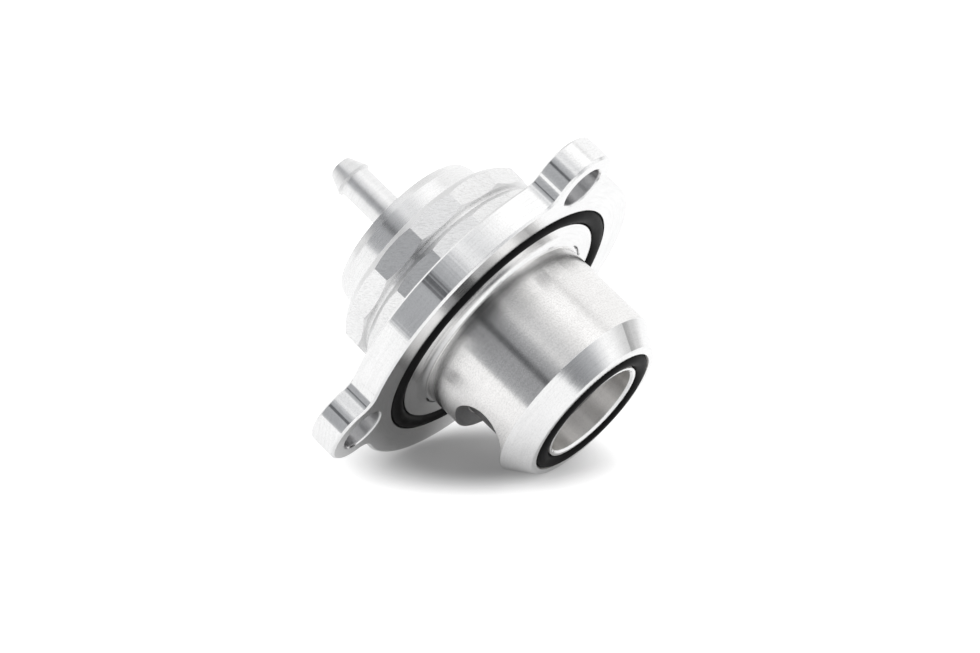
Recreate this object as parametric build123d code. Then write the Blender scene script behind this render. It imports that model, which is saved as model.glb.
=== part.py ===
from build123d import *
import os
from math import acos, cos, pi, sin

# Piston type blow off valve, millimetres.
# The origin is the centre of the flange's mounting face and +Z runs along the axis to the vacuum nipple.
# The nose points to -Z, +X runs through one bolt hole, and the side port faces -X.

# Flange
FLANGE_R = 27.2
FLANGE_THICK = 5.0
BOLT_PCD = 56.0
BOLT_COUNT = 3
BOLT_HOLE_D = 7.0
EAR_R = 6.0
EAR_BLEND_R = 3.0
FLANGE_EDGE = 0.35
HOLE_EDGE = 0.3

# Spigot that enters the housing, with its cone and nose
SPIGOT_R = 15.4
COLLAR_STEP = 0.4
COLLAR_H = 0.7
COLLAR_SWEEP_R = 1.6
COLLAR_FOOT_R = 0.15
COLLAR_LIP_R = 0.1
RIM_Z = -16.5
NOSE_R = 12.9
NOSE_Z = -20.4
NOSE_EDGE = 0.25
INLET_R = 8.1
INLET_EDGE = 0.35

# Side port, a slot that runs round the spigot between two round ends
PORT_FROM = 120.0
PORT_TO = 240.0
PORT_END_R = 4.8
PORT_LAND = 0.15

# Faceted grip rings behind the flange, split by a turned neck
FACETS = 14
FACET_CORNER_R = 18.15
RING_BACK_Z = 15.75
RING_BACK_EDGE = 1.35
NECK_FROM = 10.7
NECK_TO = 11.35
LOWER_RING_EDGE = 1.15

# Bore, and the thread that takes the cap
BORE_R = 12.5
CAP_THREAD_STEP = 0.5
CAP_THREAD_LEN = 5.5
CAP_SKIRT_LEN = 4.25
CAP_SKIRT_WALL = 2.6
CAP_SEAL_DOWN = 0.4
CAP_LAP = 0.65
CAP_TOP_Z = 20.8
CAP_ROOF = 3.0
CAP_EDGE_H = 1.3
CAP_EDGE_W = 0.5
PIN_HOLE_D = 2.5
PIN_HOLE_DEPTH = 1.8
PIN_HOLE_R = 9.2

# Barbed vacuum nipple
NIPPLE_R = 2.7
NIPPLE_BORE_R = 1.4
NIPPLE_TIP_Z = 35.1
NIPPLE_TIP_R = 2.0
BARB_R = 3.15
BARB_LEN = 2.9
BARB_STEP = 0.35
NIPPLE_THREAD_R = 2.5
NIPPLE_HEX_AF = 8.0
NIPPLE_HEX_H = 2.4
NIPPLE_HEX_EDGE = 0.3

# Round seals: section, and how far the two face seals stand proud
FACE_SEAL_D = 2.62
FACE_SEAL_PROUD = 0.45
FLANGE_SEAL_R = 20.78
NOSE_SEAL_R = 10.29
CAP_SEAL_D = 1.3
PISTON_SEAL_D = 1.8
SEAL_SIDE_GAP = 0.07

# Piston, guide ring and spring
PISTON_TRAVEL = 9.0
PISTON_STOP_GAP = 0.45
PISTON_FLOOR = 3.0
PISTON_WALL = 2.2
PISTON_EDGE = 0.8
FRONT_SEAL_DOWN = 7.2
GUIDE_DOWN = 4.7
REAR_SEAL_DOWN = 2.2
GUIDE_W = 2.4
GUIDE_T = 1.0
SPRING_WIRE_D = 1.5
SPRING_SIDE_GAP = 0.75
SPRING_TURNS = 8.5
WASHER_T = 0.8
WASHER_HOLE_R = 4.0
WASHER_LAP = 0.4

# Clearances
RUN_GAP = 0.05
THREAD_GAP = 0.05
SEAL_RUN_GAP = 0.02
CUT_PAST = 1.0

# Places that follow from the sizes above
BOLT_R = BOLT_PCD / 2
COLLAR_R = SPIGOT_R + COLLAR_STEP
SEAT_Z = RIM_Z + PORT_LAND
PORT_MID_Z = SEAT_Z + PORT_END_R
CAP_THREAD_R = BORE_R + CAP_THREAD_STEP
CAP_R = CAP_THREAD_R + CAP_LAP
CAP_CAVITY_R = CAP_THREAD_R - CAP_SKIRT_WALL
PISTON_R = BORE_R - RUN_GAP
PISTON_CUP_R = BORE_R - PISTON_WALL
SPRING_MEAN_R = PISTON_CUP_R - SPRING_SIDE_GAP - SPRING_WIRE_D / 2
SKIRT_Z = RING_BACK_Z - CAP_SKIRT_LEN
PISTON_TOP_Z = SKIRT_Z - PISTON_STOP_GAP - PISTON_TRAVEL
CUP_FLOOR_Z = SEAT_Z + PISTON_FLOOR
CAP_ROOF_Z = CAP_TOP_Z - CAP_ROOF
SPRING_TOP_Z = CAP_ROOF_Z - WASHER_T
CAP_SKIRT_R = CAP_THREAD_R - THREAD_GAP
FACET_FLAT_R = FACET_CORNER_R * cos(pi / FACETS)


def turned(points):
    """Solid of revolution about Z from a closed half section of (radius, height) points."""
    with BuildPart() as part:
        with BuildSketch(Plane.XZ):
            with BuildLine():
                Polyline(*points, close=True)
            make_face()
        revolve(axis=Axis.Z)
    return part.part


def ring(inner_r, outer_r, low_z, high_z):
    """Plain ring, or a disc where inner_r is 0."""
    return turned([(inner_r, low_z), (outer_r, low_z), (outer_r, high_z), (inner_r, high_z)])


def round_seal(middle_r, middle_z, section_d):
    """Round rubber ring lying flat in its groove."""
    return Pos(0, 0, middle_z) * Torus(middle_r, section_d / 2)


def seal_groove(middle_r, mouth_z, floor_z, section_d):
    """Face groove for a round seal, as a solid to cut away."""
    half = section_d / 2 + SEAL_SIDE_GAP
    return ring(middle_r - half, middle_r + half, min(mouth_z, floor_z), max(mouth_z, floor_z))


def on_bolt_circle(shape):
    """Copies of a shape, one at each bolt hole, with the first on +X."""
    step = 360 / BOLT_COUNT
    return [Rot(0, 0, k * step) * Pos(BOLT_R, 0, 0) * shape for k in range(BOLT_COUNT)]


def flange_plate():
    """Round plate with rounded bolt ears that run into it by concave blends."""
    with BuildSketch() as outline:
        Circle(FLANGE_R)
        with PolarLocations(BOLT_R, BOLT_COUNT):
            Circle(EAR_R)
        corners = [v for v in outline.vertices() if abs(v.center().length - FLANGE_R) < 0.01]
        fillet(corners, EAR_BLEND_R)
    plate = extrude(outline.sketch, FLANGE_THICK)
    rims = plate.edges().group_by(Axis.Z)
    return chamfer(rims[0] + rims[-1], FLANGE_EDGE)


def bolt_holes():
    """Bolt holes with broken edges, as solids to cut away."""
    hole_r = BOLT_HOLE_D / 2
    edge_r = hole_r + HOLE_EDGE
    hole = turned([(0, 0), (edge_r, 0), (hole_r, HOLE_EDGE), (hole_r, FLANGE_THICK - HOLE_EDGE),
                   (edge_r, FLANGE_THICK), (0, FLANGE_THICK)])
    return on_bolt_circle(hole)


def round_edge(solid, edge_r, edge_z, radius):
    """Round the circular edge of that radius and height."""
    at_height = [e for e in solid.edges().filter_by(GeomType.CIRCLE)
                 if abs(e.radius - edge_r) < 0.001 and abs(e.arc_center.Z - edge_z) < 0.001]
    return fillet(at_height, radius)


def spigot():
    """Spigot with its cone, nose and a root collar that sweeps out into the flange's face."""
    turn = acos(1 - COLLAR_H / COLLAR_SWEEP_R)
    foot_r = COLLAR_R + COLLAR_SWEEP_R * sin(turn)
    middle = (foot_r - COLLAR_SWEEP_R * sin(turn / 2), COLLAR_SWEEP_R * (cos(turn / 2) - 1))
    with BuildPart() as part:
        with BuildSketch(Plane.XZ):
            with BuildLine():
                Polyline((foot_r, 0), (foot_r, FLANGE_THICK), (0, FLANGE_THICK), (0, NOSE_Z),
                         (NOSE_R - NOSE_EDGE, NOSE_Z), (NOSE_R, NOSE_Z + NOSE_EDGE), (SPIGOT_R, RIM_Z),
                         (SPIGOT_R, -COLLAR_H), (COLLAR_R, -COLLAR_H))
                ThreePointArc((COLLAR_R, -COLLAR_H), middle, (foot_r, 0))
            make_face()
        revolve(axis=Axis.Z)
    turning = round_edge(part.part, SPIGOT_R, -COLLAR_H, COLLAR_FOOT_R)
    return round_edge(turning, COLLAR_R, -COLLAR_H, COLLAR_LIP_R)


def grip_rings():
    """Two faceted rings: a many-sided bar whose ends and neck are turned."""
    bar = extrude(RegularPolygon(FACET_CORNER_R, FACETS), RING_BACK_Z)
    blank_r = FACET_CORNER_R + CUT_PAST
    step = FACET_CORNER_R - FACET_FLAT_R
    lower_r = FACET_CORNER_R - LOWER_RING_EDGE
    back_r = FACET_CORNER_R - RING_BACK_EDGE
    lathe = turned([(0, FLANGE_THICK / 2), (blank_r, FLANGE_THICK / 2),
                    (blank_r, NECK_FROM - LOWER_RING_EDGE - CUT_PAST), (lower_r, NECK_FROM),
                    (lower_r, NECK_TO), (FACET_FLAT_R, NECK_TO),
                    (blank_r, NECK_TO + step + CUT_PAST), (blank_r, RING_BACK_Z - RING_BACK_EDGE - CUT_PAST),
                    (back_r, RING_BACK_Z), (0, RING_BACK_Z)])
    return bar & lathe


def side_port():
    """Slot round the spigot with a round end at each side, as a solid to cut away."""
    inner_r = BORE_R - 2 * CUT_PAST
    outer_r = SPIGOT_R + 2 * CUT_PAST
    with BuildPart() as part:
        with BuildSketch(Plane.XZ.rotated((0, 0, PORT_FROM))):
            with Locations(((inner_r + outer_r) / 2, PORT_MID_Z)):
                Rectangle(outer_r - inner_r, 2 * PORT_END_R)
        revolve(axis=Axis.Z, revolution_arc=PORT_TO - PORT_FROM)
    end = Pos((inner_r + outer_r) / 2, 0, PORT_MID_Z) * Rot(0, 90, 0) * Cylinder(PORT_END_R, outer_r - inner_r)
    return part.part + Rot(0, 0, PORT_FROM) * end + Rot(0, 0, PORT_TO) * end


def bore():
    """Inlet, piston bore and cap thread along the axis, as a solid to cut away."""
    thread_z = RING_BACK_Z - CAP_THREAD_LEN
    return turned([(0, NOSE_Z), (INLET_R + INLET_EDGE, NOSE_Z), (INLET_R, NOSE_Z + INLET_EDGE),
                   (INLET_R, SEAT_Z), (BORE_R, SEAT_Z), (BORE_R, thread_z),
                   (CAP_THREAD_R, thread_z), (CAP_THREAD_R, RING_BACK_Z), (0, RING_BACK_Z)])


def face_seal_depth():
    """Depth of a face groove that leaves its seal standing proud."""
    return FACE_SEAL_D - FACE_SEAL_PROUD


def valve_body():
    """One machined piece: flange, spigot, grip rings, bore and side port."""
    body = flange_plate() + spigot() + grip_rings()
    body -= bolt_holes()
    body -= seal_groove(FLANGE_SEAL_R, 0, face_seal_depth(), FACE_SEAL_D)
    body -= seal_groove(NOSE_SEAL_R, NOSE_Z, NOSE_Z + face_seal_depth(), FACE_SEAL_D)
    body -= bore()
    body -= side_port()
    return body


def flange_oring():
    return round_seal(FLANGE_SEAL_R, FACE_SEAL_D / 2 - FACE_SEAL_PROUD, FACE_SEAL_D)


def nose_oring():
    return round_seal(NOSE_SEAL_R, NOSE_Z + FACE_SEAL_D / 2 - FACE_SEAL_PROUD, FACE_SEAL_D)


def cap_seal_place():
    """Middle radius and height of the seal below the cap's shoulder."""
    return CAP_THREAD_R - SEAL_RUN_GAP - CAP_SEAL_D / 2, RING_BACK_Z - CAP_SEAL_D / 2 - CAP_SEAL_DOWN


def outer_groove(outer_r, middle_r, middle_z, section_d):
    """Groove round the outside of a turned piece, as a solid to cut away."""
    half = section_d / 2 + SEAL_SIDE_GAP
    return ring(middle_r - half, outer_r + CUT_PAST, middle_z - half, middle_z + half)


def top_cap():
    """Round cap with a threaded skirt, a spring cavity, the nipple's hole and two spanner holes."""
    cap = turned([(CAP_CAVITY_R, SKIRT_Z), (CAP_SKIRT_R, SKIRT_Z), (CAP_SKIRT_R, RING_BACK_Z),
                  (CAP_R, RING_BACK_Z), (CAP_R, CAP_TOP_Z - CAP_EDGE_H), (CAP_R - CAP_EDGE_W, CAP_TOP_Z),
                  (NIPPLE_THREAD_R, CAP_TOP_Z), (NIPPLE_THREAD_R, CAP_ROOF_Z),
                  (CAP_CAVITY_R, CAP_ROOF_Z)])
    pin_hole = Pos(0, PIN_HOLE_R, CAP_TOP_Z) * Cylinder(PIN_HOLE_D / 2, 2 * PIN_HOLE_DEPTH)
    cap -= [pin_hole, Rot(0, 0, 180) * pin_hole]
    return cap - outer_groove(CAP_SKIRT_R, *cap_seal_place(), CAP_SEAL_D)


def cap_oring():
    return round_seal(*cap_seal_place(), CAP_SEAL_D)


def hex_shoulder():
    """Spanner hexagon with turned corners, standing on the cap."""
    across = NIPPLE_HEX_AF / 2
    prism = Pos(0, 0, CAP_TOP_Z) * extrude(RegularPolygon(across, 6, major_radius=False), NIPPLE_HEX_H)
    top_z = CAP_TOP_Z + NIPPLE_HEX_H
    corner_r = across / cos(pi / 6)
    lathe = turned([(0, CAP_TOP_Z), (corner_r, CAP_TOP_Z), (corner_r, top_z - NIPPLE_HEX_EDGE),
                    (across, top_z), (0, top_z)])
    return prism & lathe


def vacuum_nipple():
    """Hose tail with one barb, a hexagon on the cap and a threaded shank in it."""
    shank_r = NIPPLE_THREAD_R - THREAD_GAP
    barb_z = NIPPLE_TIP_Z - BARB_LEN
    tail = turned([(0, CAP_ROOF_Z), (shank_r, CAP_ROOF_Z), (shank_r, CAP_TOP_Z),
                   (NIPPLE_R, CAP_TOP_Z), (NIPPLE_R, barb_z - BARB_STEP), (BARB_R, barb_z),
                   (NIPPLE_TIP_R, NIPPLE_TIP_Z), (0, NIPPLE_TIP_Z)])
    return tail + hex_shoulder() - ring(0, NIPPLE_BORE_R, CAP_ROOF_Z, NIPPLE_TIP_Z)


def piston_seal_r():
    """Middle radius of a seal on the piston, clear of the bore."""
    return BORE_R - SEAL_RUN_GAP - PISTON_SEAL_D / 2


def piston():
    """Cup that slides in the bore, closed to the nose, with grooves for its rings."""
    cup = turned([(0, SEAT_Z), (PISTON_R - PISTON_EDGE, SEAT_Z), (PISTON_R, SEAT_Z + PISTON_EDGE),
                  (PISTON_R, PISTON_TOP_Z), (PISTON_CUP_R, PISTON_TOP_Z), (PISTON_CUP_R, CUP_FLOOR_Z),
                  (0, CUP_FLOOR_Z)])
    for down in (FRONT_SEAL_DOWN, REAR_SEAL_DOWN):
        cup -= outer_groove(PISTON_R, piston_seal_r(), PISTON_TOP_Z - down, PISTON_SEAL_D)
    guide_low = PISTON_TOP_Z - GUIDE_DOWN - GUIDE_W / 2 - SEAL_SIDE_GAP
    guide_floor_r = BORE_R - SEAL_RUN_GAP - GUIDE_T - SEAL_SIDE_GAP
    cup -= ring(guide_floor_r, PISTON_R + CUT_PAST, guide_low, guide_low + GUIDE_W + 2 * SEAL_SIDE_GAP)
    return cup


def piston_oring(down):
    return round_seal(piston_seal_r(), PISTON_TOP_Z - down, PISTON_SEAL_D)


def piston_guide_ring():
    """Slippery ring that carries the piston in the bore."""
    outer_r = BORE_R - SEAL_RUN_GAP
    low_z = PISTON_TOP_Z - GUIDE_DOWN - GUIDE_W / 2
    return ring(outer_r - GUIDE_T, outer_r, low_z, low_z + GUIDE_W)


def return_spring():
    """Round wire coil with ground ends, from the piston's floor to the washer."""
    length = SPRING_TOP_Z - CUP_FLOOR_Z
    path = Helix(pitch=length / SPRING_TURNS, height=length, radius=SPRING_MEAN_R)
    wire_start = Plane(origin=path @ 0, z_dir=path % 0)
    wire = sweep(wire_start * Circle(SPRING_WIRE_D / 2), path)
    keep = Pos(0, 0, length / 2) * Cylinder(SPRING_MEAN_R + SPRING_WIRE_D, length)
    return Pos(0, 0, CUP_FLOOR_Z) * (wire & keep)


def spring_washer():
    return ring(WASHER_HOLE_R, SPRING_MEAN_R + SPRING_WIRE_D / 2 + WASHER_LAP, SPRING_TOP_Z, CAP_ROOF_Z)


def pieces():
    """Every piece by its node name."""
    return {
        "valve_body": valve_body(),
        "flange_oring": flange_oring(),
        "nose_oring": nose_oring(),
        "top_cap": top_cap(),
        "cap_oring": cap_oring(),
        "vacuum_nipple": vacuum_nipple(),
        "piston": piston(),
        "piston_oring_front": piston_oring(FRONT_SEAL_DOWN),
        "piston_oring_rear": piston_oring(REAR_SEAL_DOWN),
        "piston_guide_ring": piston_guide_ring(),
        "return_spring": return_spring(),
        "spring_washer": spring_washer(),
    }


os.makedirs("parts", exist_ok=True)
for name, shape in pieces().items():
    export_step(shape, f"parts/{name}.step")
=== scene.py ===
"""Looks and studio for a machined piston blow off valve that lies on a pale table."""

from math import cos, radians, sin
from types import SimpleNamespace

import bpy
from mathutils import Matrix, Vector


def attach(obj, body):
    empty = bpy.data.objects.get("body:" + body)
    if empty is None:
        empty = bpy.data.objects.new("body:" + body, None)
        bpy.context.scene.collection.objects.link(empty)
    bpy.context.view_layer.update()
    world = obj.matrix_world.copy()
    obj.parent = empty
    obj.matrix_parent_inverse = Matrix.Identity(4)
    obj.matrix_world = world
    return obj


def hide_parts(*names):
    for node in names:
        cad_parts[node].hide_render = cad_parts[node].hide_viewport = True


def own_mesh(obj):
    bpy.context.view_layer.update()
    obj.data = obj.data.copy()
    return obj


bl_info = {
    "name": "Blow Off Valve",
    "version": (1, 0, 0),
    "blender": (4, 5, 0),
    "location": "3D View > Sidebar > Valve",
    "description": "Finishes the pieces of a machined blow off valve and sets its studio",
    "category": "Object",
}

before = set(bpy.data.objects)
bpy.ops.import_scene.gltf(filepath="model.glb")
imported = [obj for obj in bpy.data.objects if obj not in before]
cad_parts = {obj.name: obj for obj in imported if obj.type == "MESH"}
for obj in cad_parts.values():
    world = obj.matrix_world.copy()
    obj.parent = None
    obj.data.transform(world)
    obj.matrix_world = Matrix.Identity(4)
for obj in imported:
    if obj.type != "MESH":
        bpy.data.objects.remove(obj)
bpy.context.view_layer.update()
MM = 0.001
FAR = 1.0  # in metres, past every part of the valve

# Zones of the machined body: heights along its axis, then radii
SPIGOT = ((-16.45 * MM, -0.72 * MM), (12.6 * MM, 15.6 * MM))
PORT = ((-16.45 * MM, -1.5 * MM), (12.7 * MM, 15.3 * MM))
FLANGE_FACE = ((-2.2 * MM, 0.02 * MM), (15.6 * MM, 40 * MM))
FLANGE_RIM = ((0, 5.1 * MM), (15.9 * MM, FAR))
GRIP_RINGS = ((5.1 * MM, 15.7 * MM), (15.9 * MM, FAR))
BORE = ((-FAR, 15.6 * MM), (-FAR, 13.1 * MM))
FLANGE_GROOVE = ((0.02 * MM, 3 * MM), (19.2 * MM, 22.4 * MM))
NOSE_GROOVE = ((-20.38 * MM, -17 * MM), (8.7 * MM, 11.9 * MM))
# Bolt holes: radius of their circle, where they are on it, and a radius just past their edge
BOLT_R, BOLT_DEGREES, HOLE_R = 28 * MM, (0, 120, 240), 3.6 * MM
# A wall stands along the axis while its normal has no more of the axis in it than this
UPRIGHT = 0.1

# Sizes and depths of the patterns on the aluminium. The real turning lines, reamer's marks and cutter strokes
# are about 0.1 mm apart, too fine to show, so they are drawn as coarse as they need to show. A slow drift of
# the tool leaves bands of several lines.
LINES_IN_BAND = 5
HANDLING_SIZE = 9 * MM
ARC_SIZE, ARC_SHORTENING = 0.35 * MM, 0.07
DRAG_SIZE, CHATTER_SIZE = 2.5 * MM, 0.4 * MM
STROKE_SHORTENING, FLATS_APART = 0.2, (3 * MM, 5 * MM, 0)
LINE_RELIEF, CHATTER_RELIEF, RELIEF_DEPTH = 0.2, 0.5, 0.012 * MM
EDGE_BREAK = 0.15 * MM

# How much the patterns add to the metal's roughness, and about what they add to it in all
BAND_ROUGH, HANDLING_ROUGH, ARC_ROUGH, MEAN_ROUGH = 0.06, 0.05, 0.05, 0.09
# How much rougher than turned faces the body's zones are
SPIGOT_ROUGH, PORT_ROUGH, HOLE_ROUGH, GROOVE_ROUGH, BORE_ROUGH, GRIP_ROUGH, FLAT_ROUGH = (
    0.07, 0.25, 0.22, 0.3, 0.24, 0.2, 0.13,
)
# How far reflections are drawn out on the handled spigot, and the turn from the way that the grooves run to
# the way that they draw reflections out
SPIGOT_DRAWN_OUT, QUARTER_TURN = 0.75, 0.25

# How the patterns darken the metal: two values of a pattern, and the share of light left at the first of them
WORN, LINED, GRAINED = (0.35, 0.6, 0.95), (0.3, 0.55, 0.95), (0.35, 0.55, 0.94)
HANDLED, DRAGGED, STROKED = (0.35, 0.6, 0.88), (0.35, 0.6, 0.84), (0.3, 0.55, 0.9)

# Painted shade on one side of the spigot near its root and on the low side of the flange's face: the side of
# the valve, and the angles off it where the shade ends and is full, all in degrees
SPIGOT_SHADE_SIDE, FACE_SHADE_SIDE = (310, 28, 12), (222, 72, 48)
# Light that the painted shade takes: from least to most between two heights on the spigot, most near its
# root, and the same all over the face
SPIGOT_SHADE_HEIGHTS, SPIGOT_SHADE_LEAST, SPIGOT_SHADE_MOST = (-10 * MM, -2.5 * MM), 0.16, 0.36
FACE_SHADE = 0.2

SEAL_RISE = 0.1 * MM  # how much further out the flange's seal stands while nothing presses on it
# How a copy of a CAD node is merged and smoothed
MERGE_DISTANCE, SMOOTH_BELOW = 0.002 * MM, radians(40)


def to_linear(colour):
    """Linear red, green, blue and alpha of an sRGB hex colour."""
    parts = [int(colour[k:k + 2], 16) / 255 for k in (1, 3, 5)]
    return (*[c / 12.92 if c <= 0.04045 else ((c + 0.055) / 1.055) ** 2.4 for c in parts], 1.0)


def colour_property(name, description, colour):
    return bpy.props.FloatVectorProperty(
        name=name, description=description, subtype="COLOR", size=4, min=0, max=1, default=to_linear(colour)
    )


class ValveFinish(bpy.types.PropertyGroup):
    """Colours and tool marks of the valve's pieces."""

    metal_colour: colour_property("Metal", "Bright machined aluminium of the body, cap and nipple", "#FAFAFA")
    spigot_colour: colour_property("Spigot", "Handled, slightly duller aluminium of the spigot", "#F8F7F6")
    bore_colour: colour_property("Bore", "Aluminium of the bores, dulled by tool marks", "#FAF8F5")
    # The walls of the port and of the bolt holes are painted greyer, as shade inside them
    port_shade_colour: colour_property("Port", "Rough cut walls of the side port", "#A3A3A4")
    hole_shade_colour: colour_property("Bolt holes", "Drilled walls of the bolt holes", "#D0D0D1")
    piston_colour: colour_property("Piston", "Hard anodised aluminium of the piston", "#B6B4B5")
    # The rubber's black is also painted on the walls of the seal grooves, as shade in them
    rubber_and_groove_shade_colour: colour_property("Rubber", "Black nitrile rubber of the seals", "#0A0A0B")
    guide_colour: colour_property("Guide ring", "Filled plastic of the piston's guide ring", "#D8D4C8")
    steel_colour: colour_property("Spring steel", "Drawn wire of the return spring and its washer", "#A9A8A6")
    # The pitch and the grain are drawn coarser than the real ones, which are too fine to show
    turning_pitch: bpy.props.FloatProperty(
        name="Turning pitch", description="Distance between visible turning lines",
        default=0.8 * MM, unit="LENGTH", precision=5,
    )
    grain_size: bpy.props.FloatProperty(
        name="Milled grain", description="Size of the grain on the milled flats",
        default=0.22 * MM, unit="LENGTH", precision=5,
    )


class StudioSetup(bpy.types.PropertyGroup):
    """Table and lamps."""

    contact_angle: bpy.props.FloatProperty(
        name="Contact angle", description="Where round the flange the valve touches the table",
        default=radians(183.4), subtype="ANGLE",
    )
    table_depth: bpy.props.FloatProperty(
        name="Table depth", description="Length of table behind the valve", default=1.6, unit="LENGTH"
    )
    table_front: bpy.props.FloatProperty(
        name="Table front", description="Length of table before the valve", default=0.13, unit="LENGTH"
    )
    top_lamp_power: bpy.props.FloatProperty(
        name="Top lamp", description="Power of the soft lamp above", default=0.9, unit="POWER"
    )
    side_lamp_power: bpy.props.FloatProperty(
        name="Side lamp", description="Power of the soft lamp behind to the right", default=0.5, unit="POWER"
    )


def add(tree, kind, inputs=None, **settings):
    """Adds a node with its settings and inputs, and gives its outputs; an input is a value or an output."""
    made = tree.nodes.new("ShaderNode" + kind)
    for name, value in settings.items():
        setattr(made, name, value)
    for socket, value in (inputs or {}).items():
        if isinstance(value, bpy.types.NodeSocket):
            tree.links.new(value, made.inputs[socket])
        else:
            made.inputs[socket].default_value = value
    return made.outputs


def new_material(name):
    """New material and its empty node tree."""
    material = bpy.data.materials.new(name)
    material.use_nodes = True
    material.node_tree.nodes.clear()
    return material, material.node_tree


def round_the_axis(tree):
    """Where a point of the valve is, as its place and as seen round and along the axis."""
    coordinates = add(tree, "TexCoord")
    x, y, height = add(tree, "SeparateXYZ", {0: coordinates["Object"]})
    flat = add(tree, "CombineXYZ", {0: x, 1: y})[0]
    radius = add(tree, "VectorMath", {0: flat}, operation="LENGTH")["Value"]
    back = add(tree, "Math", {0: y, 1: -1.0}, operation="MULTIPLY")[0]
    round_way = add(tree, "CombineXYZ", {0: back, 1: x})[0]
    profile = add(tree, "CombineXYZ", {0: radius, 1: height})[0]
    return SimpleNamespace(
        place=coordinates["Object"], normal=coordinates["Normal"], radius=radius, height=height, flat=flat,
        profile=profile, round_way=round_way,
    )


def within(tree, *ranges):
    """1 where every value lies between its two ends, else 0."""
    inside = None
    for value, low, high in ranges:
        middle, reach = (low + high) / 2, (high - low) / 2
        hit = add(tree, "Math", {0: value, 1: middle, 2: reach}, operation="COMPARE")[0]
        inside = hit if inside is None else add(tree, "Math", {0: inside, 1: hit}, operation="MULTIPLY")[0]
    return inside


def multiplied(tree, colour, *shades):
    """Colour darkened by grey shades."""
    for shade in shades:
        grey = add(tree, "CombineColor", {0: shade, 1: shade, 2: shade})[0]
        colour = add(tree, "Mix", {0: 1.0, 6: colour, 7: grey}, data_type="RGBA", blend_type="MULTIPLY")[2]
    return colour


def on_side(tree, at, degrees, start, full):
    """From 0 to 1 as a place's direction from the axis nears a side; the side and the angles are degrees."""
    way = (cos(radians(degrees)), sin(radians(degrees)), 0)
    along = add(tree, "VectorMath", {0: at.place, 1: way}, operation="DOT_PRODUCT")["Value"]
    share = add(tree, "Math", {0: along, 1: at.radius}, operation="DIVIDE")[0]
    start, full = cos(radians(start)), cos(radians(full))
    return add(tree, "MapRange", {"Value": share, "From Min": start, "From Max": full},
               interpolation_type="SMOOTHSTEP")[0]


def diagonal_strokes(tree, place, look):
    """Short slanting cutter strokes that a face mill leaves on the flats."""
    normal = add(tree, "NewGeometry")["True Normal"]
    sideways = add(tree, "VectorMath", {0: normal, 1: (0, 0, 1)}, operation="CROSS_PRODUCT")["Vector"]
    along = add(tree, "VectorMath", {0: place, 1: sideways}, operation="DOT_PRODUCT")["Value"]
    height = add(tree, "SeparateXYZ", {0: place})[2]
    across = add(tree, "Math", {0: along, 1: height}, operation="SUBTRACT")[0]
    onward = add(tree, "Math", {0: along, 1: height})[0]
    onward = add(tree, "Math", {0: onward, 1: STROKE_SHORTENING}, operation="MULTIPLY")[0]
    # Each flat takes its strokes from a place of its own in the noise
    apart = add(tree, "VectorMath", {0: normal, 1: FLATS_APART}, operation="DOT_PRODUCT")["Value"]
    slant = add(tree, "CombineXYZ", {0: across, 1: onward, 2: apart})[0]
    return add(tree, "TexNoise", {"Vector": slant, "Scale": 1 / look.grain_size, "Detail": 1.0})["Fac"]


def painted_shade(tree, at, spigot, face):
    """Share of light left by painted shade on one side of the spigot near its root and on the flange face's
    low side.
    """
    on_spigot = add(tree, "MapRange", {
        "Value": at.height, "From Min": SPIGOT_SHADE_HEIGHTS[0], "From Max": SPIGOT_SHADE_HEIGHTS[1],
        "To Min": SPIGOT_SHADE_LEAST, "To Max": SPIGOT_SHADE_MOST,
    }, interpolation_type="SMOOTHSTEP")[0]
    for share in (on_side(tree, at, *SPIGOT_SHADE_SIDE), spigot):
        on_spigot = add(tree, "Math", {0: on_spigot, 1: share}, operation="MULTIPLY")[0]
    low_side = on_side(tree, at, *FACE_SHADE_SIDE)
    on_face = add(tree, "Math", {0: face, 1: low_side}, operation="MULTIPLY")[0]
    painted_shading = add(tree, "Math", {0: on_face, 1: FACE_SHADE, 2: on_spigot}, operation="MULTIPLY_ADD")[0]
    return add(tree, "Math", {0: 1.0, 1: painted_shading}, operation="SUBTRACT")[0]


def body_zones(tree, at):
    """Where the body's zones are: 1 inside each, else 0; its bolt holes and seal grooves are lists."""
    spigot, port, face, rim, grips, bore, *grooves = [
        within(tree, (at.height, *heights), (at.radius, *radii))
        for heights, radii in (
            SPIGOT, PORT, FLANGE_FACE, FLANGE_RIM, GRIP_RINGS, BORE, FLANGE_GROOVE, NOSE_GROOVE,
        )
    ]
    upright = within(tree, (add(tree, "SeparateXYZ", {0: at.normal})[2], -UPRIGHT, UPRIGHT))
    rim, flats, bore = [
        add(tree, "Math", {0: zone, 1: upright}, operation="MULTIPLY")[0] for zone in (rim, grips, bore)
    ]
    holes = []
    for degrees in BOLT_DEGREES:
        middle = (BOLT_R * cos(radians(degrees)), BOLT_R * sin(radians(degrees)), 0)
        off = add(tree, "VectorMath", {0: at.flat, 1: middle}, operation="DISTANCE")["Value"]
        holes.append(within(tree, (off, 0, HOLE_R)))
    return SimpleNamespace(
        spigot=spigot, port=port, face=face, rim=rim, grips=grips, flats=flats, bore=bore, holes=holes,
        grooves=grooves,
    )


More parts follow.
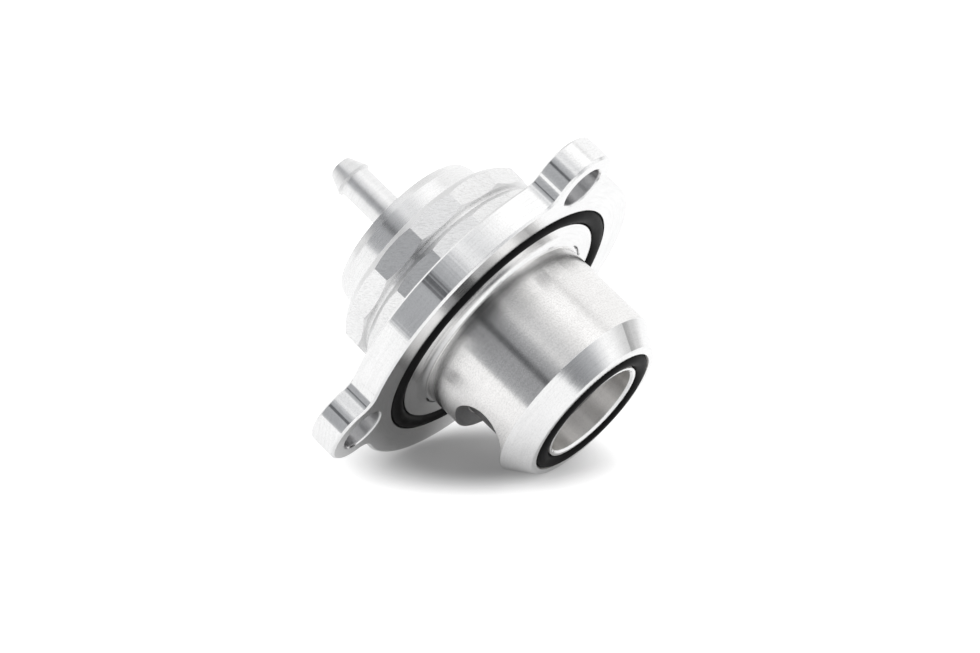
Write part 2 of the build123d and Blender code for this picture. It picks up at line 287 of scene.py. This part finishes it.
def finish_zones(tree, look, at, grain, finish):
    """Changes the turned finish to that of each of the body's zones.

    They are its handled spigot, its rougher port and drilled bolt holes, whose walls are painted grey as
    shade, its seal grooves, whose walls are painted near black as shade, its reamed bore, its side-milled
    rim, and its grip rings with their milled flats. Painted shade also darkens one side of the spigot near
    its root and the low side of the flange's face.
    """
    zones = body_zones(tree, at)
    for zone, colour, rougher in (
        (zones.spigot, look.spigot_colour, SPIGOT_ROUGH),
        # Painted shade: the walls of the port and of the bolt holes are greyer, as shade inside them
        (zones.port, look.port_shade_colour, PORT_ROUGH),
        *[(hole, look.hole_shade_colour, HOLE_ROUGH) for hole in zones.holes],
        # Painted shade: the walls of the seal grooves take the rubber's near black
        *[(groove, look.rubber_and_groove_shade_colour, GROOVE_ROUGH) for groove in zones.grooves],
        (zones.bore, look.bore_colour, BORE_ROUGH),
    ):
        finish.tone = add(tree, "Mix", {0: zone, 6: finish.tone, 7: colour}, data_type="RGBA")[2]
        finish.rough = add(tree, "Math", {0: zone, 1: rougher, 2: finish.rough}, operation="MULTIPLY_ADD")[0]
    for zone, rougher in ((zones.grips, GRIP_ROUGH), (zones.flats, FLAT_ROUGH - GRIP_ROUGH)):
        finish.rough = add(tree, "Math", {0: zone, 1: rougher, 2: finish.rough}, operation="MULTIPLY_ADD")[0]
    finish.drawn_out = add(tree, "MapRange", {
        "Value": zones.spigot, "To Min": finish.drawn_out, "To Max": SPIGOT_DRAWN_OUT,
    })[0]
    # Marks in the bore and on the rim are lines that run with the axis
    drag, chatter = [
        add(tree, "TexNoise", {"Vector": at.place, "Scale": 1 / size, "Detail": detail},
            noise_dimensions="2D")["Fac"]
        for size, detail in ((DRAG_SIZE, 3.0), (CHATTER_SIZE, 0.0))
    ]
    strokes = diagonal_strokes(tree, at.place, look)
    handled, dragged, stroked = [
        add(tree, "MapRange", {"Value": mark, "From Min": start, "From Max": end, "To Min": darkest})[0]
        for mark, (start, end, darkest) in ((grain, HANDLED), (drag, DRAGGED), (strokes, STROKED))
    ]
    # Painted shade near the spigot's root and on the flange face's low side darkens the metal along with its
    # wear
    painted_shading = painted_shade(tree, at, zones.spigot, zones.face)
    wear_with_painted_shade = add(tree, "Math", {0: finish.worn, 1: painted_shading}, operation="MULTIPLY")[0]
    finish.worn, finish.lined, finish.grained = [
        add(tree, "Mix", {0: zone, 2: elsewhere, 3: there}, data_type="FLOAT")[0]
        for zone, elsewhere, there in (
            (zones.bore, wear_with_painted_shade, dragged),
            (zones.flats, finish.lined, stroked),
            (zones.spigot, finish.grained, handled),
        )
    ]
    chatter = add(tree, "Math", {0: zones.rim, 1: chatter}, operation="MULTIPLY")[0]
    finish.relief = add(tree, "Math", {0: chatter, 1: CHATTER_RELIEF, 2: finish.relief},
                        operation="MULTIPLY_ADD")[0]
    for zone, pattern in ((zones.port, grain), (zones.flats, strokes)):
        finish.relief = add(tree, "Mix", {0: zone, 2: finish.relief, 3: pattern}, data_type="FLOAT")[0]


def turned_metal(name, look, roughness, zones=False, drawn_out=1.0):
    """Aluminium cut on a lathe: fine rings round the axis draw reflections out along it.

    The micro-grooves run round the axis, so the finish is rough across them and smooth along them.
    """
    material, tree = new_material(name)
    at = round_the_axis(tree)
    rings, bands = [
        add(tree, "TexNoise", {"Vector": at.profile, "Scale": 1 / size, "Detail": 1.0},
            noise_dimensions="2D")["Fac"]
        for size in (look.turning_pitch, LINES_IN_BAND * look.turning_pitch)
    ]
    # Broken turning lines: short arcs, long round the axis and fine across it
    shortened = add(tree, "VectorMath", {0: at.place, "Scale": ARC_SHORTENING}, operation="SCALE")[0]
    x, y, _ = add(tree, "SeparateXYZ", {0: shortened})
    arcs = add(tree, "CombineXYZ", {0: x, 1: y, 2: add(tree, "Math", {0: at.radius, 1: at.height})[0]})[0]
    arcs = add(tree, "TexNoise", {"Vector": arcs, "Scale": 1 / ARC_SIZE, "Detail": 2.0})["Fac"]
    handling = add(tree, "TexNoise", {
        "Vector": at.place, "Scale": 1 / HANDLING_SIZE, "Detail": 5.0, "Roughness": 0.6,
    })["Fac"]
    grain = add(tree, "TexNoise", {"Vector": at.place, "Scale": 1 / look.grain_size, "Detail": 1.0})["Fac"]
    worn, lined, grained = [
        add(tree, "MapRange", {"Value": pattern, "From Min": start, "From Max": end, "To Min": darkest})[0]
        for pattern, (start, end, darkest) in ((handling, WORN), (arcs, LINED), (grain, GRAINED))
    ]
    rough = roughness - MEAN_ROUGH
    for pattern, rougher in ((bands, BAND_ROUGH), (handling, HANDLING_ROUGH), (arcs, ARC_ROUGH)):
        rough = add(tree, "Math", {0: pattern, 1: rougher, 2: rough}, operation="MULTIPLY_ADD")[0]
    relief = add(tree, "Math", {0: rings, 1: arcs})[0]
    relief = add(tree, "Math", {0: relief, 1: LINE_RELIEF}, operation="MULTIPLY")[0]
    finish = SimpleNamespace(
        tone=look.metal_colour, worn=worn, lined=lined, grained=grained, rough=rough, drawn_out=drawn_out,
        relief=relief,
    )
    if zones:
        finish_zones(tree, look, at, grain, finish)
    broken_edges = add(tree, "Bevel", {"Radius": EDGE_BREAK}, samples=4)[0]
    bump = add(tree, "Bump", {"Height": finish.relief, "Distance": RELIEF_DEPTH, "Normal": broken_edges})[0]
    shader = add(tree, "BsdfPrincipled", {
        "Base Color": multiplied(tree, finish.tone, finish.worn, finish.lined, finish.grained),
        "Metallic": 1.0, "Roughness": finish.rough, "Anisotropic": finish.drawn_out,
        "Anisotropic Rotation": QUARTER_TURN, "Tangent": at.round_way, "Normal": bump,
    })
    add(tree, "OutputMaterial", {"Surface": shader[0]})
    return material


def moulded_rubber(name, colour):
    """Nitrile rubber from a polished mould: deep black with a soft, slightly cloudy sheen."""
    # Its pores are drawn coarser than the real ones of a few hundredths of a millimetre, which would not show
    cloud_size, pore_size, pore_depth = 2.5 * MM, 0.25 * MM, 0.01 * MM
    material, tree = new_material(name)
    place = add(tree, "TexCoord")["Object"]
    clouds = add(tree, "TexNoise", {"Vector": place, "Scale": 1 / cloud_size, "Detail": 3.0})["Fac"]
    pores = add(tree, "TexNoise", {"Vector": place, "Scale": 1 / pore_size, "Detail": 2.0})["Fac"]
    rough = add(tree, "MapRange", {"Value": clouds, "To Min": 0.44, "To Max": 0.6})[0]
    bump = add(tree, "Bump", {"Height": pores, "Strength": 0.6, "Distance": pore_depth})[0]
    shader = add(tree, "BsdfPrincipled", {
        "Base Color": colour, "IOR": 1.52, "Specular IOR Level": 0.08, "Roughness": rough, "Normal": bump,
    })
    add(tree, "OutputMaterial", {"Surface": shader[0]})
    return material


def hard_anodised(name, colour):
    """Hard anodised aluminium: a grey oxide skin, even and dull, with faint turning lines under it."""
    # Lines and specks are drawn a few times coarser than the real ones, which would not show
    line_size, line_depth, speck_size = 0.5 * MM, 0.006 * MM, 0.45 * MM
    material, tree = new_material(name)
    at = round_the_axis(tree)
    rings = add(tree, "TexNoise", {"Vector": at.profile, "Scale": 1 / line_size, "Detail": 2.0},
                noise_dimensions="2D")["Fac"]
    specks = add(tree, "TexNoise", {"Vector": at.place, "Scale": 1 / speck_size, "Detail": 3.0})["Fac"]
    shade = add(tree, "MapRange", {"Value": specks, "From Min": 0.3, "From Max": 0.7, "To Min": 0.6})[0]
    rough = add(tree, "MapRange", {"Value": specks, "To Min": 0.34, "To Max": 0.54})[0]
    bump = add(tree, "Bump", {"Height": rings, "Distance": line_depth})[0]
    shader = add(tree, "BsdfPrincipled", {
        "Base Color": multiplied(tree, colour, shade), "Metallic": 1.0, "Roughness": rough, "Normal": bump,
    })
    add(tree, "OutputMaterial", {"Surface": shader[0]})
    return material


def filled_ptfe(name, colour):
    """PTFE with a filler, cut to size: a slippery plastic, dull and faintly mottled."""
    # The filler's specks are drawn coarser than the real ones, which would not show
    speck_size, speck_depth = 0.6 * MM, 0.01 * MM
    material, tree = new_material(name)
    place = add(tree, "TexCoord")["Object"]
    specks = add(tree, "TexNoise", {"Vector": place, "Scale": 1 / speck_size, "Detail": 4.0})["Fac"]
    rough = add(tree, "MapRange", {"Value": specks, "To Min": 0.4, "To Max": 0.6})[0]
    bump = add(tree, "Bump", {"Height": specks, "Strength": 0.5, "Distance": speck_depth})[0]
    shader = add(tree, "BsdfPrincipled", {"Base Color": colour, "Roughness": rough, "Normal": bump})
    add(tree, "OutputMaterial", {"Surface": shader[0]})
    return material


def drawn_steel(name, colour):
    """Drawn spring steel: grey and half bright, clouded by the faint scale that drawing and heating leave."""
    cloud_size, cloud_depth = 1.2 * MM, 0.008 * MM
    material, tree = new_material(name)
    place = add(tree, "TexCoord")["Object"]
    clouds = add(tree, "TexNoise", {"Vector": place, "Scale": 1 / cloud_size, "Detail": 5.0})["Fac"]
    rough = add(tree, "MapRange", {"Value": clouds, "To Min": 0.2, "To Max": 0.45})[0]
    bump = add(tree, "Bump", {"Height": clouds, "Strength": 0.4, "Distance": cloud_depth})[0]
    shader = add(tree, "BsdfPrincipled", {
        "Base Color": colour, "Metallic": 1.0, "Roughness": rough, "Normal": bump,
    })
    add(tree, "OutputMaterial", {"Surface": shader[0]})
    return material


def dress(nodes, material):
    """Gives CAD nodes one material."""
    for name in nodes:
        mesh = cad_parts[name].data
        mesh.materials.clear()
        mesh.materials.append(material)


def stand_in(node, name, lift=0.0):
    """Merged copy of a CAD node that stands for it on the housing, lifted along the axis."""
    piece = bpy.data.objects.new(name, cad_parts[node].data.copy())
    bpy.context.scene.collection.objects.link(piece)
    piece.data.transform(Matrix.Translation((0, 0, lift)))
    bpy.ops.object.select_all(action="DESELECT")
    bpy.context.view_layer.objects.active = piece
    piece.select_set(True)
    bpy.ops.object.mode_set(mode="EDIT")
    bpy.ops.mesh.select_all(action="SELECT")
    bpy.ops.mesh.remove_doubles(threshold=MERGE_DISTANCE)
    bpy.ops.mesh.customdata_custom_splitnormals_clear()
    bpy.ops.object.mode_set(mode="OBJECT")
    bpy.ops.object.shade_smooth_by_angle(angle=SMOOTH_BELOW)
    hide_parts(node)
    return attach(piece, "housing")


def add_coil():
    """Return spring: a merged copy of its CAD node on the housing, with a mesh of its own."""
    coil = stand_in("return_spring", "coil_spring")
    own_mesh(coil)


class VALVE_OT_body(bpy.types.Operator):
    """Finish the machined body, turned all over but for its milled flats"""

    bl_idname = "valve.body"
    bl_label = "Machined Body"

    def execute(self, context):
        look = context.scene.valve_finish
        dress(["valve_body"], turned_metal("bright_machined_aluminium", look, roughness=0.13, zones=True))
        return {"FINISHED"}


class VALVE_OT_cap(bpy.types.Operator):
    """Finish the turned cap and the vacuum nipple screwed into it"""

    bl_idname = "valve.cap"
    bl_label = "Cap and Nipple"

    def execute(self, context):
        look = context.scene.valve_finish
        dress(["top_cap"], turned_metal("fine_turned_aluminium", look, roughness=0.27, drawn_out=0.85))
        # The nipple's small cuts are duller, so that its reflections run into each other
        dress(["vacuum_nipple"], turned_metal("satin_turned_aluminium", look, roughness=0.42, drawn_out=0.5))
        return {"FINISHED"}


class VALVE_OT_seals(bpy.types.Operator):
    """Finish the rubber seals"""

    bl_idname = "valve.seals"
    bl_label = "Rubber Seals"

    def execute(self, context):
        look = context.scene.valve_finish
        dress(["flange_oring", "nose_oring", "cap_oring", "piston_oring_front", "piston_oring_rear"],
              moulded_rubber("black_nitrile_rubber", look.rubber_and_groove_shade_colour))
        # Unpressed, the flange's seal stands a little further out of its groove
        stand_in("flange_oring", "flange_seal", lift=-SEAL_RISE)
        return {"FINISHED"}


class VALVE_OT_piston(bpy.types.Operator):
    """Finish the piston and its guide ring"""

    bl_idname = "valve.piston"
    bl_label = "Piston"

    def execute(self, context):
        look = context.scene.valve_finish
        dress(["piston"], hard_anodised("hard_anodised_aluminium", look.piston_colour))
        dress(["piston_guide_ring"], filled_ptfe("filled_ptfe", look.guide_colour))
        return {"FINISHED"}


class VALVE_OT_spring(bpy.types.Operator):
    """Finish the return spring, which the piston presses together, and its washer"""

    bl_idname = "valve.spring"
    bl_label = "Return Spring"

    def execute(self, context):
        look = context.scene.valve_finish
        dress(["return_spring", "spring_washer"], drawn_steel("drawn_spring_steel", look.steel_colour))
        add_coil()
        return {"FINISHED"}


# Camera found from the photograph: directions of its right, up and back, and its place
CAMERA_RIGHT = Vector((0.4400, 0.5772, -0.6879))
CAMERA_UP = Vector((0.6911, 0.2716, 0.6698))
CAMERA_BACK = Vector((0.5734, -0.7702, -0.2795))
CAMERA_PLACE = Vector((0.34463, -0.46547, -0.16823))
CAMERA_LENS, SENSOR_WIDTH, CLIP_START = 146.94, 36, 0.01


def studio_directions(contact_angle):
    """Upwards from the table, away from the camera, to its right, and the point touched on the flange.

    The valve lies on the flange's rim and on the edge of the nose, which is its reach further down the axis.
    """
    rim, nose, reach = 27.2 * MM, 12.9 * MM, 20.4 * MM
    outward = Vector((cos(contact_angle), sin(contact_angle), 0))
    up = (Vector((0, 0, rim - nose)) - outward * reach).normalized()
    away = (-CAMERA_BACK - up * (-CAMERA_BACK).dot(up)).normalized()
    return up, away, away.cross(up), outward * rim


def add_camera():
    made = bpy.data.cameras.new("photo_camera")
    made.sensor_fit = "HORIZONTAL"
    made.sensor_width = SENSOR_WIDTH
    made.lens = CAMERA_LENS
    made.clip_start = CLIP_START
    camera = bpy.data.objects.new("photo_camera", made)
    bpy.context.scene.collection.objects.link(camera)
    turn = Matrix((CAMERA_RIGHT, CAMERA_UP, CAMERA_BACK)).transposed().to_4x4()
    camera.matrix_world = Matrix.Translation(CAMERA_PLACE) @ turn
    bpy.context.scene.camera = camera


# Brightness across the tent's opening: degrees round the valve's axis, grey
OPENING = (
    (253, 1.04), (256, 0.96), (259, 0.48), (262, 0.43), (268, 0.42), (281, 0.42), (287, 0.44), (289.5, 0.40),
    (292, 0.15), (296.5, 0.12), (299, 0.32), (301, 0.42), (306, 0.46), (313, 0.60), (318, 0.80), (322, 0.90),
    (330, 0.80), (338, 0.86), (346, 0.98), (354, 1.06), (360, 1.14), (380, 1.14), (390, 1.04),
)
OPENING_FROM, OPENING_TO = 242, 402
# Brightness of the tent past the nose: degrees from straight behind the valve towards the right, grey
NOSE_END = (
    (104, 1.04), (114, 0.8), (124, 0.46), (131, 0.38), (139, 0.28), (146, 0.24), (152, 0.44), (158, 0.75),
    (166, 0.95),
)
NOSE_END_FROM, NOSE_END_TO = 100, 180
BLUER = 0.03  # how much bluer the tent is where it is dark
# Grey strips of the tent: the angle of a strip's middle, the angles off it where it stops being full and
# ends, and its grey. The seam's middle is counted from straight behind the valve, the cloth's round its axis.
SEAM, CLOTH = (69, 0, 8, 0.64), (418, 15, 36, 0.6)
# Where the tent's parts fade in, as heights along the valve's axis on a tent of radius 1
NOSE_END_FADE, CAP_END_FADE = (-0.35, -0.6), (0.55, 0.85)
CLOTH_TOP_FADE, CLOTH_FOOT_FADE = (0.08, -0.14), (-0.62, -0.42)
# A bright strip across the tent past the cap: how far off its middle it stops being full and ends, on the
# same tent, then its grey and the grey beside it
CAP_STRIP_FULL, CAP_STRIP_END, CAP_STRIP_GREY, CAP_END_GREY = 0.1, 0.5, 0.98, 0.68
# The camera, dark against the tent: the angles off its middle where it ends and is full, and its grey
CAMERA_EDGE, CAMERA_FULL, CAMERA_GREY = radians(20), radians(9), 0.12


def graded(tree, angle, stops, low, high):
    """Grey read from a table of angles in degrees, a little bluer where it is dark."""
    place = add(tree, "MapRange", {"Value": angle, "From Min": radians(low), "From Max": radians(high)})[0]
    grey_ramp = add(tree, "ValToRGB", {0: place})[0]
    elements = grey_ramp.node.color_ramp.elements
    while len(elements) < len(stops):
        elements.new(0.5)
    for element, (degrees, grey) in zip(elements, stops):
        element.position = (degrees - low) / (high - low)
        blue = BLUER * max(0, 1 - grey)
        element.color = (grey * (1 - 2 * blue), grey * (1 - blue), grey * (1 + blue), 1)
    return grey_ramp


def grey_strip(tree, angle, middle, full, end, grey):
    """Strip of the tent that is grey round its middle and fades out to both sides; its angles are degrees."""
    off = add(tree, "Math", {0: angle, 1: radians(middle)}, operation="SUBTRACT")[0]
    off = add(tree, "Math", {0: off}, operation="ABSOLUTE")[0]
    full, end = radians(full), radians(end)
    return add(tree, "MapRange", {"Value": off, "From Min": full, "From Max": end, "To Min": grey},
               interpolation_type="SMOOTHSTEP")[0]


def add_surroundings(away, right):
    """White tent with a graded grey opening on the camera's side, a grey cloth on the right and grey ends.

    The metal's light and dark bands are this tent's reflection. Its brightness is laid out round the valve's
    axis, so that each band lies where the photograph shows it.
    """
    world = bpy.data.worlds.new("light_tent")
    bpy.context.scene.world = world
    world.use_nodes = True
    tree = world.node_tree
    tree.nodes.clear()
    direction = add(tree, "TexCoord")["Generated"]
    middle = radians((OPENING_FROM + OPENING_TO) / 2)
    ahead, aside, facing, across, toward = [
        add(tree, "VectorMath", {0: direction, 1: way}, operation="DOT_PRODUCT")["Value"]
        for way in (away, right, (cos(middle), sin(middle), 0), (-sin(middle), cos(middle), 0), CAMERA_BACK)
    ]
    round_way = add(tree, "Math", {0: across, 1: facing}, operation="ARCTAN2")[0]
    round_way = add(tree, "Math", {0: round_way, 1: middle})[0]
    turn = add(tree, "Math", {0: aside, 1: ahead}, operation="ARCTAN2")[0]
    opening, nose_end = [
        graded(tree, angle, stops, low, high)
        for angle, stops, low, high in (
            (round_way, OPENING, OPENING_FROM, OPENING_TO),
            (turn, NOSE_END, NOSE_END_FROM, NOSE_END_TO),
        )
    ]
    height = add(tree, "SeparateXYZ", {0: direction})[2]
    to_nose, to_cap, under_top, over_foot = [
        add(tree, "MapRange", {"Value": height, "From Min": start, "From Max": end},
            interpolation_type="SMOOTHSTEP")[0]
        for start, end in (NOSE_END_FADE, CAP_END_FADE, CLOTH_TOP_FADE, CLOTH_FOOT_FADE)
    ]
    tent = add(tree, "Mix", {0: to_nose, 6: opening, 7: nose_end}, data_type="RGBA")[2]
    seam, cloth = grey_strip(tree, turn, *SEAM), grey_strip(tree, round_way, *CLOTH)
    # The camera's view of the valve mirrors little of the cap's end of the tent and of the cloth
    to_side = add(tree, "Math", {0: across}, operation="ABSOLUTE")[0]
    cap_end = add(tree, "MapRange", {"Value": to_side, "From Min": CAP_STRIP_FULL, "From Max": CAP_STRIP_END,
                                     "To Min": CAP_STRIP_GREY, "To Max": CAP_END_GREY},
                  interpolation_type="SMOOTHSTEP")[0]
    hung = add(tree, "Math", {0: under_top, 1: over_foot}, operation="MULTIPLY")[0]
    cap_end, cloth = [
        add(tree, "Mix", {0: share, 2: 1.0, 3: shade}, data_type="FLOAT")[0]
        for share, shade in ((to_cap, cap_end), (hung, cloth))
    ]
    camera = add(tree, "MapRange", {
        "Value": toward, "From Min": cos(CAMERA_EDGE), "From Max": cos(CAMERA_FULL), "To Min": 1.0,
        "To Max": CAMERA_GREY,
    }, interpolation_type="SMOOTHSTEP")[0]
    tent_light = add(tree, "Background", {0: multiplied(tree, tent, seam, cap_end, cloth, camera)})[0]
    plain = add(tree, "Background", {0: (1, 1, 1, 1)})[0]
    shown = add(tree, "MixShader", {0: add(tree, "LightPath")["Is Camera Ray"], 1: tent_light, 2: plain})[0]
    add(tree, "OutputWorld", {0: shown})


# Oval of painted shadow on the table, where its painted glow fades round the valve's shadow, to the right and
# away: its middle from the point touched, its reach
SHADOW_MIDDLE, SHADOW_REACH = (10 * MM, -5.3 * MM), (24.5 * MM, 21 * MM)
# Shares of the oval's reach where the painted glow is at its least and where it is full, and the least glow
SHADOW_CORE, SHADOW_EDGE, LEAST_GLOW = 0.35, 1.25, 0.14
MIRRORED_GLOW = 0.5  # share of the table's painted glow that the metal mirrors
TABLE_WIDTH, TABLE_GAP = 2.4, 0.02 * MM


def pale_table(away, right, touch):
    """Matt white table top that glows with painted light all round an oval of painted shadow under the valve,
    and clear when seen from beneath.
    """
    material, tree = new_material("matt_white_table")
    top = add(tree, "BsdfDiffuse", {"Color": to_linear("#BDBDBD")})[0]
    path = add(tree, "LightPath")
    seen = add(tree, "Math", {0: path["Is Glossy Ray"], 1: MIRRORED_GLOW, 2: path["Is Camera Ray"]},
               operation="MULTIPLY_ADD")[0]
    # To the camera the table glows plain white with painted light but for an oval of painted shadow, in which
    # the valve's own shadow lies
    place = add(tree, "TexCoord")["Object"]
    shares = []
    for way, middle, reach in zip((right, away), SHADOW_MIDDLE, SHADOW_REACH):
        along = add(tree, "VectorMath", {0: place, 1: way / reach}, operation="DOT_PRODUCT")["Value"]
        start = (touch.dot(way) + middle) / reach
        shares.append(add(tree, "Math", {0: along, 1: start}, operation="SUBTRACT")[0])
    off = add(tree, "CombineXYZ", {0: shares[0], 1: shares[1]})[0]
    off = add(tree, "VectorMath", {0: off}, operation="LENGTH")["Value"]
    glow = add(tree, "MapRange", {"Value": off, "From Min": SHADOW_CORE, "From Max": SHADOW_EDGE,
                                  "To Min": LEAST_GLOW}, interpolation_type="SMOOTHSTEP")[0]
    glow = add(tree, "Math", {0: seen, 1: glow}, operation="MULTIPLY")[0]
    glow = add(tree, "Emission", {"Strength": glow})[0]
    lit = add(tree, "AddShader", {0: top, 1: glow})[0]
    below = add(tree, "NewGeometry")["Backfacing"]
    both = add(tree, "MixShader", {0: below, 1: lit, 2: add(tree, "BsdfTransparent")[0]})[0]
    add(tree, "OutputMaterial", {"Surface": both})
    return material


def add_table(setup, up, away, right, touch):
    """Flat table top just under the point that the flange touches."""
    bpy.ops.object.select_all(action="DESELECT")
    bpy.ops.mesh.primitive_plane_add(size=1)
    table = bpy.context.object
    table.name = "table_top"
    middle = touch + away * (setup.table_depth - setup.table_front) / 2 - up * TABLE_GAP
    length = setup.table_front + setup.table_depth
    turn = Matrix((right, away, up)).transposed().to_4x4()
    table.data.transform(Matrix.Translation(middle) @ turn @ Matrix.Diagonal((TABLE_WIDTH, length, 1, 1)))
    table.data.materials.append(pale_table(away, right, touch))


def add_lamp(name, up, away, right, turn, lift, distance, size, power):
    """Square soft lamp in a direction from the valve, turned to face it and unseen by camera and metal."""
    lamp = bpy.data.lights.new(name, "AREA")
    lamp.size = size
    lamp.energy = power
    made = bpy.data.objects.new(name, lamp)
    bpy.context.scene.collection.objects.link(made)
    flat = away * cos(radians(turn)) + right * sin(radians(turn))
    out = flat * cos(radians(lift)) + up * sin(radians(lift))
    made.matrix_world = Matrix.Translation(out * distance) @ out.to_track_quat("Z", "Y").to_matrix().to_4x4()
    made.visible_camera = False
    made.visible_glossy = False


class VALVE_OT_studio(bpy.types.Operator):
    """Set the table, light tent, lamps and camera"""

    bl_idname = "valve.studio"
    bl_label = "Studio"

    def execute(self, context):
        setup = context.scene.valve_studio
        up, away, right, touch = studio_directions(setup.contact_angle)
        add_camera()
        add_surroundings(away, right)
        add_table(setup, up, away, right, touch)
        add_lamp("top_softbox", up, away, right, turn=70, lift=80, distance=0.6, size=0.3,
                 power=setup.top_lamp_power)
        add_lamp("side_softbox", up, away, right, turn=28, lift=24, distance=0.7, size=0.5,
                 power=setup.side_lamp_power)
        context.scene.view_settings.view_transform = "Standard"
        return {"FINISHED"}


class VALVE_PT_panel(bpy.types.Panel):
    bl_idname = "VALVE_PT_panel"
    bl_label = "Blow Off Valve"
    bl_space_type = "VIEW_3D"
    bl_region_type = "UI"
    bl_category = "Valve"

    def draw(self, context):
        for group in (context.scene.valve_finish, context.scene.valve_studio):
            box = self.layout.box()
            for name in group.bl_rna.properties.keys():
                if name not in ("rna_type", "name"):
                    box.prop(group, name)
        for operator in OPERATORS:
            self.layout.operator(operator.bl_idname)


OPERATORS = (VALVE_OT_body, VALVE_OT_cap, VALVE_OT_seals, VALVE_OT_piston, VALVE_OT_spring, VALVE_OT_studio)
CLASSES = (ValveFinish, StudioSetup, *OPERATORS, VALVE_PT_panel)


def register():
    for cls in CLASSES:
        bpy.utils.register_class(cls)
    bpy.types.Scene.valve_finish = bpy.props.PointerProperty(type=ValveFinish)
    bpy.types.Scene.valve_studio = bpy.props.PointerProperty(type=StudioSetup)


def unregister():
    del bpy.types.Scene.valve_studio
    del bpy.types.Scene.valve_finish
    for cls in reversed(CLASSES):
        bpy.utils.unregister_class(cls)


def main():
    register()
    bpy.ops.valve.body()
    bpy.ops.valve.cap()
    bpy.ops.valve.seals()
    bpy.ops.valve.piston()
    bpy.ops.valve.spring()
    bpy.ops.valve.studio()


if __name__ == "__main__":
    main()
